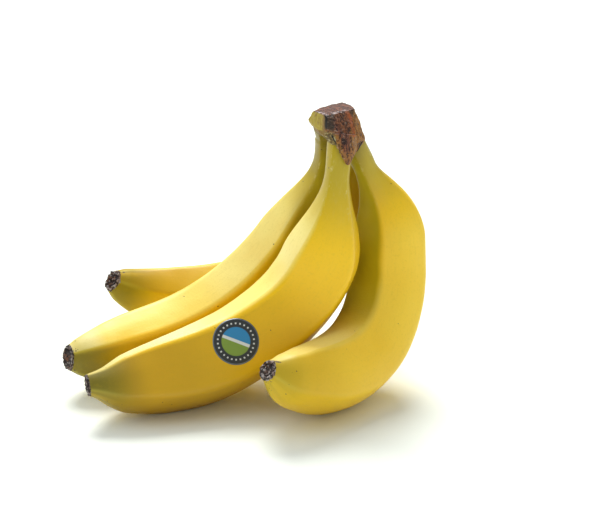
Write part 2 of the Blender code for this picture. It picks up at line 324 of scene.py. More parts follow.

# Each spine is a Bezier curve from the crown to the blossom end. Light tones and greens are the paints of
# the faces after each ridge, in a row for each of the paint's places along the fruit. A light tone goes
# from brown gold (-1) through gold (0) and lemon (1) to cream (2): partly the peel's own colour and partly
# painted light and shade, with lemon and cream as painted light and sheen on the upper faces and brown
# gold as painted shade on the lower and inner faces. A green goes from none (0) to olive (1): the peel's
# own green at the neck and the tip, and painted shade on the inner faces. A mark is a dark dot: its share
# of the length, its turn, half its breadth and length in mm.
fruits = {
    "fruitUpper": {
        "node": "banana_upper",
        "spine": ((0.0114, 0.0060, 0.1235), (0.0148, 0.0220, 0.1060), (0.0065, 0.0355, 0.0715),
                  (-0.0145, 0.0345, 0.0340), (-0.0540, 0.0155, 0.0115), (-0.1099, -0.0125, 0.0187)),
        "girth": 0.94,
        "turn": 10,
        "twist": -6,
        "shoulderShift": -0.0012,     # metres out from the bend
        "shiftSpan": 0.26,
        "tipShift": 0.0,
        "shoulderEnd": 0.35,
        "taperStart": 0.76,
        "stubRadius": 0.0061,
        "endTilt": Vector((0.0, 0.0, 0.0)),
        "seed": 1.0,
        "flatness": (0.70, 0.70, 0.90, 0.90, 0.80),   # of the faces after each ridge
        "closing": 0.005,         # length over which the peel draws in to the stub
        "collar": -0.0006,
        "stubPaleness": 0.2,
        "creviceShade": 0.9,           # how dark the painted shade is where the peel nears another fruit
        "neckCreviceShade": 1.1,       # how much further that reaches on the neck
        "creviceShadeEnd": 2.0,        # the share of the length where that stops
        "rubbed": 0.5,
        "gloss": 0.4,
        "paintPlaces": (0.15, 0.30, 0.50, 0.85, 0.98),
        "lightTones": ((0.3, 1.1, 1.2, 0.0, 0.0), (0.3, 1.2, 1.4, -0.3, -0.3), (0.3, 1.4, 1.4, 0.0, 0.0),
                  (0.3, 0.9, 0.4, -0.5, -0.5), (0.3, 2.0, 2.0, -0.6, -0.6)),
        "greens": ((0.0, 0.0, 0.2, 0.9, 0.9), (0.0, 0.0, 0.0, 0.7, 0.7), (0.0, 0.0, 0.0, 0.2, 0.2),
                   (0.0, 0.0, 0.0, 0.4, 0.4), (0.3, 0.1, 0.0, 0.9, 0.9)),
        "marks": ((0.076, 160, 0.35, 0.4), (0.172, 154, 0.35, 0.35), (0.037, 206, 0.4, 0.6),
                  (0.599, 206, 0.3, 0.5), (0.987, 193, 0.5, 0.4), (0.987, 242, 0.5, 0.5),
                  (0.981, 236, 0.3, 0.3), (0.979, 226, 0.3, 0.5), (0.956, 219, 0.2, 0.4),
                  (0.988, 281, 0.5, 0.5), (0.979, 281, 0.35, 0.3), (0.973, 268, 0.25, 0.25),
                  (0.986, 183, 0.4, 0.3), (0.982, 190, 0.25, 0.4)),
    },
    "fruitMiddle": {
        "node": "banana_middle",
        "spine": ((0.0185, -0.0065, 0.1285), (0.0175, -0.0180, 0.0995), (0.0130, -0.0025, 0.0630),
                  (0.0050, 0.0025, 0.0320), (-0.0310, -0.0200, 0.0105), (-0.0977, -0.0470, 0.0190)),
        "girth": 1.10,
        "turn": -4,
        "twist": -31,
        "shoulderShift": 0.0023,
        "shiftSpan": 0.46,
        "tipShift": 0.0007,
        "shoulderEnd": 0.33,
        "taperStart": 0.63,
        "stubRadius": 0.0049,
        "endTilt": Vector((0.0, -0.12, 0.22)),
        "seed": 2.0,
        "flatness": (0.70, 0.80, 0.90, 0.90, 0.80),
        "closing": 0.019,
        "collar": 0.0006,
        "stubPaleness": 0.4,
        "creviceShade": 0.0,
        "neckCreviceShade": 0.0,
        "creviceShadeEnd": 2.0,
        "rubbed": 1.0,
        "gloss": 0.4,
        "paintPlaces": (0.15, 0.30, 0.50, 0.85, 0.98),
        "lightTones": ((0.0, 0.6, 1.3, 0.1, -0.3), (0.0, 0.6, 1.6, 0.0, -0.3), (0.0, 0.6, 1.4, -0.4, -0.5),
                  (0.0, 0.6, 1.8, -0.65, -0.8), (0.0, 0.6, 1.8, -0.8, -0.8)),
        "greens": ((0.0, 0.0, 0.0, 0.1, 0.1), (0.0, 0.0, 0.0, 0.0, 0.0), (0.0, 0.0, 0.0, 0.0, 0.0),
                   (0.0, 0.0, 0.0, 0.1, 0.1), (0.5, 0.5, 0.2, 1.0, 0.8)),
        "marks": ((0.884, 321, 0.5, 0.8), (0.889, 323, 0.4, 0.4), (0.907, 304, 0.25, 0.3),
                  (0.943, 357, 0.4, 0.6), (0.840, 304, 0.4, 0.4), (0.817, 314, 0.35, 0.35),
                  (0.767, 288, 0.3, 0.4), (0.064, 170, 0.4, 0.4), (0.087, 187, 0.4, 0.4),
                  (0.991, 226, 0.4, 0.4), (0.982, 245, 0.3, 0.3), (0.967, 331, 0.25, 0.25),
                  (0.939, 353, 0.35, 0.5), (0.937, 304, 0.25, 0.3), (0.954, 196, 0.3, 0.3)),
    },
    "fruitFront": {
        "node": "banana_front",
        "spine": ((0.0230, 0.0030, 0.1235), (0.0365, 0.0180, 0.0905), (0.0545, 0.0295, 0.0610),
                  (0.0440, 0.0130, 0.0175), (0.0285, -0.0275, 0.0005), (-0.0151, -0.0630, 0.0331)),
        "girth": 1.02,
        "turn": 4,
        "twist": 9,
        "shoulderShift": 0.0032,
        "shiftSpan": 0.28,
        "tipShift": 0.0010,
        "shoulderEnd": 0.32,
        "taperStart": 0.68,
        "stubRadius": 0.0045,
        "endTilt": Vector((0.0, 0.0, 0.0)),
        "seed": 3.0,
        "flatness": (0.75, 0.85, 0.90, 0.65, 0.60),
        "closing": 0.013,
        "collar": 0.0002,
        "stubPaleness": 1.0,
        "creviceShade": 0.8,
        "neckCreviceShade": 0.7,
        "creviceShadeEnd": 0.60,
        "rubbed": 0.4,
        "gloss": 0.4,
        "paintPlaces": (0.15, 0.30, 0.50, 0.72, 0.98),
        "lightTones": ((0.0, -0.8, -0.6, -0.3, -0.2), (0.0, -0.9, -0.8, 0.4, 0.4), (0.0, -0.2, 0.6, 0.4, 0.4),
                  (0.0, 1.3, 1.4, 0.3, 0.2), (0.0, 0.0, 1.4, 0.2, 0.1)),
        "greens": ((0.0, 1.0, 1.0, 0.0, 0.0), (0.0, 1.0, 1.0, 0.0, 0.0), (0.0, 1.0, 0.9, 0.0, 0.0),
                   (0.0, 0.0, 0.0, 0.0, 0.0), (0.3, 0.3, 0.0, 0.3, 0.25)),
        "marks": ((0.171, 281, 0.35, 0.35), (0.960, 285, 0.3, 0.3), (0.992, 194, 1.5, 1.0),
                  (0.988, 201, 1.1, 0.9), (0.984, 206, 0.7, 0.8), (0.980, 209, 0.4, 0.7),
                  (0.990, 350, 0.3, 0.3), (0.988, 357, 0.35, 0.3), (0.991, 324, 0.3, 0.3),
                  (0.984, 334, 0.25, 0.25), (0.986, 347, 0.3, 0.25), (0.981, 340, 0.25, 0.25),
                  (0.973, 357, 0.25, 0.25), (0.968, 353, 0.25, 0.3), (0.963, 229, 0.2, 0.2),
                  (0.973, 226, 0.2, 0.2), (0.978, 350, 0.2, 0.2), (0.985, 318, 0.25, 0.25)),
    },
    "fruitBack": {
        "node": "banana_back",
        "spine": ((0.0215, 0.0180, 0.1205), (0.0320, 0.0435, 0.0825), (0.0220, 0.0645, 0.0420),
                  (-0.0120, 0.0825, 0.0100), (-0.0610, 0.0885, 0.0018), (-0.0951, 0.0655, 0.0302)),
        "girth": 0.96,
        "turn": 7,
        "twist": 10,
        "shoulderShift": 0.0025,
        "shiftSpan": 0.36,
        "tipShift": 0.0,
        "shoulderEnd": 0.33,
        "taperStart": 0.69,
        "stubRadius": 0.0053,
        "endTilt": Vector((0.0, 0.0, 0.0)),
        "seed": 4.0,
        "flatness": (0.60, 0.65, 0.90, 0.85, 0.60),
        "closing": 0.006,
        "collar": 0.0002,
        "stubPaleness": 0.5,
        "creviceShade": 0.0,
        "neckCreviceShade": 0.0,
        "creviceShadeEnd": 2.0,
        "rubbed": 0.3,
        "gloss": 0.2,
        "paintPlaces": (0.15, 0.30, 0.50, 0.85, 0.98),
        "lightTones": ((0.5, 0.5, 0.5, 0.5, 0.5), (0.5, 0.5, 0.5, 0.5, 0.5), (0.0, 0.0, -0.2, 0.0, 0.0),
                  (0.0, 0.0, -0.5, -0.4, 0.0), (0.0, 0.0, -0.5, 0.0, 0.0)),
        "greens": ((0.0, 0.0, 0.0, 0.0, 0.0), (0.0, 0.0, 0.2, 0.0, 0.0), (0.0, 0.0, 0.2, 0.0, 0.0),
                   (0.0, 0.0, 0.2, 0.0, 0.0), (0.5, 0.5, 0.6, 0.85, 0.7)),
        "marks": ((0.985, 147, 0.6, 0.9),),
    },
}


class Spine:
    # a Bezier curve read by its length, with a frame that stays in the plane of the bend
    def __init__(self, points):
        steps = fruitShape["arcSamples"]
        self.samples = [self.bezier(points, i / steps) for i in range(steps + 1)]
        self.travel = [0.0]
        for a, b in zip(self.samples, self.samples[1:]):
            self.travel.append(self.travel[-1] + (b - a).length)
        self.length = self.travel[-1]
        first, last = self.samples[0], self.samples[-1]
        bulge = max(self.samples, key=lambda p: (p - first).cross(last - first).length)
        self.side = (bulge - first).cross(last - bulge).normalized()

    def bezier(self, points, share):
        row = [Vector(p) for p in points]
        while len(row) > 1:
            row = [a.lerp(b, share) for a, b in zip(row, row[1:])]
        return row[0]

    def point(self, share):
        goal = share * self.length
        if goal <= 0.0:
            start = self.samples[0]
            return start + (self.samples[1] - start).normalized() * goal
        last = len(self.samples) - 2
        for i in range(last + 1):
            if self.travel[i + 1] >= goal or i == last:
                span = self.travel[i + 1] - self.travel[i]
                return self.samples[i].lerp(self.samples[i + 1], (goal - self.travel[i]) / span)

    def along(self, share):
        step = 0.01
        return (self.point(min(share + step, 1.0)) - self.point(share - step)).normalized()

    def bendFrame(self, share):
        along = self.along(share)
        side = (self.side - along * self.side.dot(along)).normalized()
        return along.cross(side), side

    def frontFrame(self, share):
        along = self.along(share)
        front = Vector((0.0, -1.0, 0.0))
        front = (front - along * front.dot(along)).normalized()
        return front, front.cross(along)


def girthAt(share, spec):
    shape = fruitShape
    start = spec["taperStart"]
    body = shape["bodyRadius"] * (1.0 - shape["shoulderLean"] * max(1.0 - share / shape["fullest"], 0.0))
    swell = smoothStep(shape["neckEnd"], spec["shoulderEnd"], share)
    taper = max((share - start) / (1.0 - start), 0.0) ** shape["taperPower"]
    neck, blossom = shape["neckRadius"], shape["blossomRadius"]
    radius = neck + (body - neck) * swell - (body - blossom) * taper
    closed = max(1.0 - (1.0 - share) * shape["length"] / spec["closing"], 0.0) ** shape["closingPower"]
    return radius * spec["girth"] * (1.0 - closed) + spec["stubRadius"] * closed


def faceAt(degrees):
    # which face of the section this turn is on, and how far it is from the face's middle
    ridges = fruitShape["ridges"]
    for i, start in enumerate(ridges):
        end = ridges[(i + 1) % len(ridges)]
        end = end + 360 if end < start else end
        here = degrees % 360
        here = here + 360 if here < start else here
        if start <= here < end:
            return i, here - (start + end) / 2, (end - start) / 2


def sharpReach(degrees, spec):
    face, off, half = faceAt(degrees)
    flat = math.cos(math.radians(half)) / math.cos(math.radians(off))
    return 1.0 + fruitShape["ridgeOutset"] - spec["flatness"][face] * (1.0 - flat)


def spread(reader, degrees):
    # the mean of a value over the ridge's rounding
    offsets = [fruitShape["ridgeRounding"] * i / 3 for i in range(-3, 4)]
    return sum(reader(degrees + offset) for offset in offsets) / len(offsets)


def ridgeNear(degrees):
    face, off, half = faceAt(degrees)
    return math.exp(-((half - abs(off)) / fruitShape["ridgeRounding"]) ** 2)


def paintMix(share, places):
    # the two rows of paint on either side of this place, and the share of the second one
    before = max(sum(1 for place in places if place <= share) - 1, 0)
    after = min(before + 1, len(places) - 1)
    if after == before:
        return before, after, 0.0
    return before, after, smoothStep(places[before], places[after], share)


# The dried blossom end: rings that go out from the peel's last ring and in to the middle. Each has
# the way along the spine in shares of the stub's length, its radius in shares of the end's radius,
# and its roughness.
stubSteps = ((0.06, 0.985, 0.15), (0.14, 0.955, 0.3), (0.3, 0.97, 0.6), (0.5, 0.99, 0.9), (0.7, 1.0, 1.1),
             (0.88, 0.99, 1.3), (1.0, 0.96, 1.4), (1.06, 0.91, 1.4), (1.03, 0.86, 1.4), (0.90, 0.81, 1.3),
             (0.72, 0.76, 1.2), (0.58, 0.70, 1.2), (0.52, 0.64, 1.2), (0.64, 0.58, 1.3), (0.80, 0.51, 1.4),
             (0.78, 0.44, 1.4), (0.58, 0.37, 1.3), (0.42, 0.30, 1.3), (0.40, 0.23, 1.3), (0.50, 0.15, 1.3),
             (0.48, 0.08, 1.0), (0.44, 0.0, 0.0))


def fruitRings(spine, spec):
    # one row for each ring: share of the length, radius, roundness, roughness, metres past the peel's end
    shape = fruitShape
    rings = [(-shape["neckOverrun"] / spine.length, 0.0, 0.0, 0.0, -spine.length)]
    share = rings[0][0]
    peelEnd = 1.0 - shape["stubLength"] / spine.length
    while share < peelEnd:
        rings.append((share, girthAt(share, spec), 0.0, 0.0, (share - peelEnd) * spine.length))
        share += (shape["ringStep"] if share < shape["tipShare"] else shape["tipStep"]) / spine.length
    rings.append((peelEnd, girthAt(peelEnd, spec), shape["rimRoundness"], shape["rimRoughness"], 0.0))
    for step, reach, rough in stubSteps:
        past = step * shape["stubLength"]
        rings.append((peelEnd + past / spine.length, spec["stubRadius"] * reach, shape["stubRoundness"],
                      rough, past + shape["stubMargin"]))
    return rings


def spineTree(spec):
    # a search tree of points along a fruit's middle, and the fruit's girth at each
    spine = Spine(spec["spine"])
    steps = fruitShape["arcSamples"]
    tree = KDTree(steps)
    for i in range(steps):
        tree.insert(spine.point(i / steps), i)
    tree.balance()
    return tree, [girthAt(i / steps, spec) for i in range(steps)]


def paintCreviceShade(mesh, name):
    # painted shade: 1 where another fruit is next to the skin, 0 from some millimetres away, further on the
    # neck
    shape, spec = fruitShape, fruits[name]
    creviceShade, share = floatLayer(mesh, "creviceShade"), floatLayer(mesh, "share")
    others = [spineTree(fruits[other]) for other in fruits if other != name]
    for vert in mesh.verts:
        gap = 1.0
        for tree, girths in others:
            place, index, distance = tree.find(vert.co + bunchMiddle)
            gap = min(gap, distance - girths[index])
        further = spec["neckCreviceShade"] * smoothStep(*shape["creviceShadeNeck"], vert[share])
        reach = shape["creviceShadeReach"] * (1.0 + further)
        vert[creviceShade] = smoothStep(reach, 0.001, gap)


def makeFruit(name, spec, material):
    shape = fruitShape
    spine = Spine(spec["spine"])
    rings = fruitRings(spine, spec)
    sides = shape["sides"]
    mesh = bmesh.new()
    bmesh.ops.create_grid(mesh, x_segments=sides, y_segments=len(rings) - 1, size=0.5)
    straight = mesh.verts.layers.float_vector.new("straight")
    layers = {key: floatLayer(mesh, key) for key in ("share", "ridge", "past", "core", "lightTone", "green")}
    degrees = [360.0 * i / sides for i in range(sides + 1)]
    reaches = [spread(lambda d: sharpReach(d, spec), d) for d in degrees]
    ridges = [spread(ridgeNear, d) for d in degrees]
    paints = {}
    for key in ("lightTone", "green"):
        paints[key] = [[spread(lambda d: row[faceAt(d)[0]], d) for d in degrees] for row in spec[key + "s"]]
    rowMixes = [paintMix(r[0], spec["paintPlaces"]) for r in rings]
    frames = [(spine.point(r[0]), *spine.bendFrame(r[0])) for r in rings]
    seed = spec["seed"]
    for vert in mesh.verts:
        i = round((vert.co.x + 0.5) * sides)
        k = round((vert.co.y + 0.5) * (len(rings) - 1))
        share, radius, rounded, rough, past = rings[k]
        point, outer, side = frames[k]
        turn = math.radians(degrees[i % sides])
        roll = turn + math.radians(spec["turn"] + spec["twist"] * (share - 0.5))
        ray = outer * math.cos(roll) + side * math.sin(roll)
        along = outer.cross(side) * -1.0
        shift = spec["shoulderShift"] * hump(share, shape["shiftStart"], spec["shiftSpan"])
        shift += spec["tipShift"] * hump(share, shape["tipShiftStart"], 1.0 - shape["tipShiftStart"])
        outset = reaches[i % sides]
        rounded = max(rounded, shape["neckRoundness"] * (1.0 - smoothStep(*shape["neckRounding"], share)))
        rounded = max(rounded, shape["tipRoundness"] * smoothStep(*shape["tipRounding"], share))
        reach = radius * (outset + (1.0 - outset) * rounded)
        rolled = Vector((math.cos(turn) * reach, math.sin(turn) * reach, share * spine.length))
        broad, small = shape["swellSizes"]
        swell = lumps(rolled, broad, seed) + 0.5 * lumps(rolled, small, seed + 9.0)
        reach += shape["unevenness"] * swell * smoothStep(0.0, 0.004, radius) * (1.0 - min(rough, 1.0))
        collarEnd, fade = shape["collarEnd"] + shape["collarLean"] * math.sin(roll), shape["collarFade"]
        reach += spec["collar"] * smoothStep(fade, -fade, share - collarEnd)
        coarse, fine = shape["crumpleSizes"]
        crumple = lumps(rolled, coarse, seed + 3.0) + 0.7 * lumps(rolled, fine, seed + 4.0)
        reach += shape["stubRoughness"] * rough * crumple * smoothStep(0.0, 0.002, radius)
        nearest = noise.voronoi(rolled / shape["stubCell"])[0][0] if rough > 0.5 else 0.0
        rise = lumps(rolled, shape["riseSize"], seed + 5.0) - 1.3 * nearest
        rise *= shape["stubRoughness"] * rough
        rise += reach * ray.dot(spec["endTilt"]) * smoothStep(*shape["tiltSpan"], share)
        vert.co = point + outer * shift + ray * reach + along * rise - bunchMiddle
        vert.co.z = max(vert.co.z, 0.0)
        vert[straight] = rolled
        vert[layers["share"]] = share
        vert[layers["ridge"]] = ridges[i % sides]
        vert[layers["past"]] = past
        vert[layers["core"]] = 1.0 - radius / spec["stubRadius"] if past > 0.0 else 0.0
        before, after, blend = rowMixes[k]
        for key, rows in paints.items():
            vert[layers[key]] = rows[before][i % sides] * (1.0 - blend) + rows[after][i % sides] * blend
    bmesh.ops.remove_doubles(mesh, verts=mesh.verts, dist=1e-7)
    cutNeck(mesh)
    paintCreviceShade(mesh, name)
    return meshObject(name, mesh, material, spec["node"])


def cutNeck(mesh):
    # the neck ends just inside the crown's slanting seat
    slope = crownShape["seatSlope"]
    normal = Vector((-slope, 0.0, 1.0)).normalized()
    place = crownShape["seatCentre"] - bunchMiddle + normal * crownShape["neckInside"]
    geometry = mesh.verts[:] + mesh.edges[:] + mesh.faces[:]
    cut = bmesh.ops.bisect_plane(mesh, geom=geometry, dist=1e-6, plane_co=place, plane_no=normal,
                                 clear_outer=True)
    rim = [e for e in cut["geom_cut"] if isinstance(e, bmesh.types.BMEdge)]
    bmesh.ops.contextual_create(mesh, geom=rim)


peelLooks = {
    "neckGreen": onScreen(180, 156, 14),
    "gold": onScreen(247, 200, 10),
    "deepGold": onScreen(232, 178, 0),
    # besides the peel's own tones, lemon and cream serve as painted light and sheen on the upper faces, and
    # brown gold as painted shade on the lower faces
    "litLemon": onScreen(243, 216, 90),
    "sheenCream": onScreen(246, 238, 168),
    "shadedBrownGold": onScreen(184, 138, 0),
    # olive: the peel's own green, also used as painted shade on the inner faces
    "oliveAndShade": onScreen(178, 162, 20),
    "tipOlive": onScreen(120, 108, 12),
    "tipGreen": onScreen(178, 156, 6),
    "tipRidgeHighlight": onScreen(206, 192, 70),
    "scuff": onScreen(222, 212, 140),
    # the colour of the painted shade where the fruits nearly touch
    "creviceShade": onScreen(82, 68, 4),
    "freckle": onScreen(62, 42, 22),
    "stubDark": onScreen(34, 25, 24),
    "stubGrey": onScreen(128, 116, 110),
    "stubPale": onScreen(190, 180, 176),
    "stubBrown": onScreen(122, 84, 62),
    "roughness": 0.40,
    # how fine each pattern is
    "driftScale": 28.0,
    "rayScale": 1.7,
    "mottleScale": 850.0,
    "streakScale": 900.0,
    "rubbedScale": 600.0,
    "freckleScale": 300.0,
    "chanceScale": 90.0,
    "raggedScale": 900.0,
    "crustScale": 1500.0,
    "fibreScale": 1200.0,
}


def makePeel(name, spec, looks):
    shader = Shader(name + "Peel")
    straight = shader.vectorLayer("straight")
    share = shader.valueLayer("share")
    past = shader.valueLayer("past")
    ridge = shader.valueLayer("ridge")
    lengthwise = shader.stretched(straight, (1.0, 1.0, 0.10))
    around = shader.node("ShaderNodeVectorMath", {"operation": "NORMALIZE"},
                         {0: shader.stretched(straight, (1.0, 1.0, 0.0))})

    # the light tone: the peel's own gold, with painted light and sheen in lemon and cream on the upper
    # faces and painted shade in brown gold on the lower and inner faces
    lightTone = shader.valueLayer("lightTone")
    body = shader.mix(lightTone.above(0.0, 1.0), looks["gold"], looks["litLemon"])
    body = shader.mix(lightTone.above(1.0, 2.0), body, looks["sheenCream"])
    body = shader.mix(lightTone.below(-1.0, 0.0), body, looks["shadedBrownGold"])
    drift = shader.noise(straight, looks["driftScale"], 3.0)
    colour = shader.mix(drift.above(0.35, 0.75) * 0.28, body, looks["deepGold"])
    colour = shader.mix(share.below(0.08, 0.28), colour, looks["neckGreen"])

    # olive faces: the peel's own green at the neck and the tip, and painted shade on the inner faces; dark
    # rays round the blossom end, and painted highlight on its ridges
    rays = shader.noise(around, looks["rayScale"])
    end = share.above(0.90, 0.99)
    colour = shader.mix(end * 0.6, colour, looks["tipGreen"])
    oliveAndShade = shader.mix(share.above(0.6, 0.9), looks["oliveAndShade"], looks["tipOlive"])
    # the green layer is partly painted shade on the inner faces
    green = shader.valueLayer("green") * (1.0 - end * rays.above(0.50, 0.66) * 0.7)
    colour = shader.mix(green, colour, oliveAndShade)
    # painted highlight along the ridges near the blossom end
    colour = shader.mix(end * ridge * 0.45, colour, looks["tipRidgeHighlight"])

    # painted shade in the creases, darkest where the fruits touch and on the neck
    creviceShade = shader.valueLayer("creviceShade")
    creviceShade = creviceShade * (creviceShade + share.below(0.14, 0.34)).clamped() * spec["creviceShade"]
    creviceShade = creviceShade * share.below(spec["creviceShadeEnd"] - 0.1, spec["creviceShadeEnd"])
    colour = shader.mix(creviceShade, colour, looks["creviceShade"])

    # fine mottling and faint threads along the fruit
    mottle = shader.noise(straight, looks["mottleScale"], 3.0, 0.6)
    streaks = shader.noise(lengthwise, looks["streakScale"], 3.0, 0.6)
    colour = shader.mix(mottle.above(0.5, 0.75) * 0.15, colour, looks["tipGreen"])
    colour = shader.mix(streaks.above(0.5, 0.8) * 0.12, colour, looks["tipGreen"])

    # waxy scuffs on the neck's ridges
    rubbed = shader.noise(shader.stretched(straight, (1.0, 1.0, 0.4)), looks["rubbedScale"], 4.0, 0.7)
    neck = share.below(0.10, 0.26)
    scuff = rubbed.above(0.5, 0.64) * (neck * (ridge * 0.9 + 0.06))
    colour = shader.mix((scuff * spec["rubbed"]).clamped(), colour, looks["scuff"])

    # small dry freckles, more of them near both ends, and the marks that stand out
    cells = shader.cells(straight, looks["freckleScale"])
    chance = shader.noise(straight, looks["chanceScale"], 1.0)
    ends = share.above(0.88, 0.99) * 0.20 + share.below(0.05, 0.20) * 0.12 + 0.02
    freckle = cells.below(0.07, 0.13) * (chance + ends).above(0.70, 0.74)
    for place, turn, breadth, length in spec["marks"]:
        freckle = freckle.highest(makeMark(shader, straight, spec, place, turn, breadth, length))
    colour = shader.mix(freckle * 0.85, colour, looks["freckle"])

    # the dried blossom end, with a ragged edge
    ragged = shader.noise(straight, looks["raggedScale"], 3.0, 0.6)
    dried = (past + (ragged - 0.5) * 0.0026).above(-0.0002, 0.0003)
    lumpScale = 1.0 / fruitShape["stubCell"]
    lump = shader.cells(straight, lumpScale)
    lumpTint = shader.cells(straight, lumpScale, 1).above(0.45, 0.65)
    crust = shader.noise(straight, looks["crustScale"], 4.0, 0.65)
    core = shader.valueLayer("core")
    groove = (core + (ragged - 0.5) * 0.2).above(0.28, 0.36) * core.below(0.46, 0.54)
    pale = shader.mix(spec["stubPaleness"], looks["stubGrey"], looks["stubPale"])
    crustColour = shader.mix(lumpTint, pale, looks["stubBrown"])
    crustColour = shader.mix(core.below(0.10, 0.28) * 0.35, crustColour, looks["stubPale"])
    crustColour = shader.mix(core.above(0.58, 0.72) * 0.5, crustColour, looks["stubBrown"])
    crustColour = shader.mix(lump.above(0.35, 0.65) * 0.9, crustColour, looks["stubDark"])
    crustColour = shader.mix(groove * 0.85, crustColour, looks["stubDark"])
    crustColour = shader.mix(crust.above(0.45, 0.65) * 0.6, crustColour, looks["stubDark"])
    colour = shader.mix(dried, colour, crustColour)

    fibres = shader.noise(lengthwise, looks["fibreScale"], 3.0, 0.6)
    height = fibres * 0.00004 + mottle * 0.00006 + drift * 0.0001 - freckle * 0.00008
    height = height + dried * (crust * 0.0006 - lump * 0.0008)
    roughness = looks["roughness"] + (rubbed - 0.5) * 0.12 + dried * 0.35 + end * 0.15
    return shader.finish({
        "Base Color": colour,
        "Roughness": roughness.clamped(),
        "Normal": shader.bump(height),
        "Specular IOR Level": spec["gloss"],
    })


def makeMark(shader, straight, spec, place, turn, breadth, length):
    # a dot on the unrolled fruit, with soft edges
    reach = girthAt(place, spec) * sharpReach(turn, spec)
    centre = Vector((math.cos(math.radians(turn)) * reach, math.sin(math.radians(turn)) * reach,
                     place * Spine(spec["spine"]).length))
    scale = Vector((1000.0 / breadth, 1000.0 / breadth, 1000.0 / length))
    return shader.distance(shader.stretched(straight, scale), centre * scale).below(0.6, 1.1)


# Crown: the cut block of stalk, its dried skin and the two tongues that hang over the necks

crownShape = {
    "seatCentre": Vector((0.0180, 0.0, 0.1238)),
    "seatSlope": -0.20,
    "neckInside": 0.0006,     # how far the necks run up into the block
    "top": 0.136,
    "topCorners": ((0.0060, -0.0015), (0.0110, -0.0085), (0.0155, -0.0070), (0.0252, 0.0020),
                   (0.0236, 0.0090), (0.0196, 0.0140), (0.0140, 0.0095), (0.0090, 0.0035)),
    "sideCorners": ((0.0035, -0.0005, 0.1317), (0.0109, -0.0090, 0.1290), (0.0160, -0.0130, 0.1290)),
    "seatCorners": ((0.0062, 0.0060), (0.0080, -0.0020), (0.0120, -0.0110), (0.0160, -0.0148),
                    (0.0215, -0.0142), (0.0270, -0.0070), (0.0305, 0.0006), (0.0298, 0.0060),
                    (0.0262, 0.0150), (0.0225, 0.0215), (0.0165, 0.0225), (0.0120, 0.0170),
                    (0.0070, 0.0105)),
    "tongueGap": 0.0002,
    "tongueSides": 14,
    "voxel": 0.00032,
    "smoothing": 3,
    "fibreDepth": 0.00022,
    "fibreSize": 0.0011,
    "knobSize": 0.0035,
    "foldSize": 0.0012,
    "borderX": 0.0144,        # the skin's left border: its place, the height it starts at, its lean
    "borderTop": 0.1315,
    "borderLean": 0.34,
    "borderFade": 0.0006,
    "tissueTop": 0.1285,
    "tissueFade": 0.0007,
    "edgeHighlightReach": 0.0036,
    "shadeReach": 0.0026,
    "streakReach": 0.0011,
    "tornReach": 0.0005,
    # where each finish fades in: the first value has none of it and the second has all. The names
    # say what is read: x or z in metres, the distance right of the border, or a face's lean.
    "fades": {
        "frontLean": (0.10, 0.40),
        "facetLean": (0.45, 0.75),
        "facetX": (0.0118, 0.0108),
        "facetZ": (0.1255, 0.1275),
        "facetTopLean": (0.80, 0.60),
        "topLean": (0.55, 0.85),
        "topZ": (0.131, 0.134),
        "edgeHighlightX": (0.0260, 0.0150),
        "rimX": (0.0094, 0.0110),
        "rimZ": (0.1292, 0.1278),
        "stripLeftX": (0.0101, 0.0106),
        "stripRightX": (0.0128, 0.0121),
        "stripZ": (0.1290, 0.1308),
        "umberX": (0.0166, 0.0148),
        "umberZ": (0.1285, 0.1308),
        "amberBorder": (0.0026, 0.0006),
        "amberZ": (0.1305, 0.1270),
        "amberLowZ": (0.1220, 0.1180),
        "rightHighlightLean": (0.45, 0.85),
        "tornLean": (-0.10, 0.20),
    },
    "frontEdge": (Vector((0.0080, -0.0045)), Vector((0.0120, -0.0082)), Vector((0.0165, -0.0062)),
                  Vector((0.0252, 0.0020))),
    # lines on the front, as x and z: an orange streak, and black lines along the torn skin's edges
    "streak": ((Vector((0.0202, 0.1370)), Vector((0.0230, 0.1335))),
               (Vector((0.0230, 0.1335)), Vector((0.0247, 0.1270)))),
    "torn": ((Vector((0.0286, 0.1214)), Vector((0.0265, 0.1165))),
             (Vector((0.0265, 0.1165)), Vector((0.0275, 0.1157))),
             (Vector((0.0144, 0.1275)), Vector((0.0163, 0.1243)))),
    # painted shade under the right corner of the cut top
    "shade": ((Vector((0.0212, 0.1368)), Vector((0.0256, 0.1345))),),
}

# a row is the share of the fruit's length, and the turns of the tongue's two edges from the front
tongues = (
    ("fruitMiddle", 0.0013, ((0.012, -35, 95), (0.030, -20, 88), (0.045, -6, 82), (0.060, 10, 60),
                             (0.071, 24, 46), (0.076, 32, 38))),
    ("fruitMiddle", 0.0006, ((0.006, -95, 10), (0.018, -85, 10), (0.028, -60, 15), (0.037, -30, 20))),
    ("fruitFront", 0.0013, ((0.004, -75, 60), (0.016, -72, 46), (0.028, -66, 8), (0.038, -60, -25))),
)


def seatHeight(x):
    return crownShape["seatCentre"].z + crownShape["seatSlope"] * (x - crownShape["seatCentre"].x)


def addTongue(mesh, spec, thickness, rows):
    spine = Spine(spec["spine"])
    sides = crownShape["tongueSides"]
    loops = []
    for share, left, right in rows:
        centre = spine.point(share)
        front, across = spine.frontFrame(share)
        inner = girthAt(share, spec) * (1.0 + fruitShape["ridgeOutset"]) + crownShape["tongueGap"]
        turns = [math.radians(left + (right - left) * i / sides) for i in range(sides + 1)]
        rays = [front * math.cos(a) + across * math.sin(a) for a in turns]
        loop = [centre + r * (inner + thickness) for r in rays]
        loop += [centre + r * inner for r in reversed(rays)]
        corners = [mesh.verts.new(p) for p in loop]
        loops.append([mesh.edges.new(pair) for pair in zip(corners, corners[1:] + corners[:1])])
    for first, second in zip(loops, loops[1:]):
        bmesh.ops.bridge_loops(mesh, edges=first + second)
    bmesh.ops.contextual_create(mesh, geom=loops[0])
    bmesh.ops.contextual_create(mesh, geom=loops[-1])


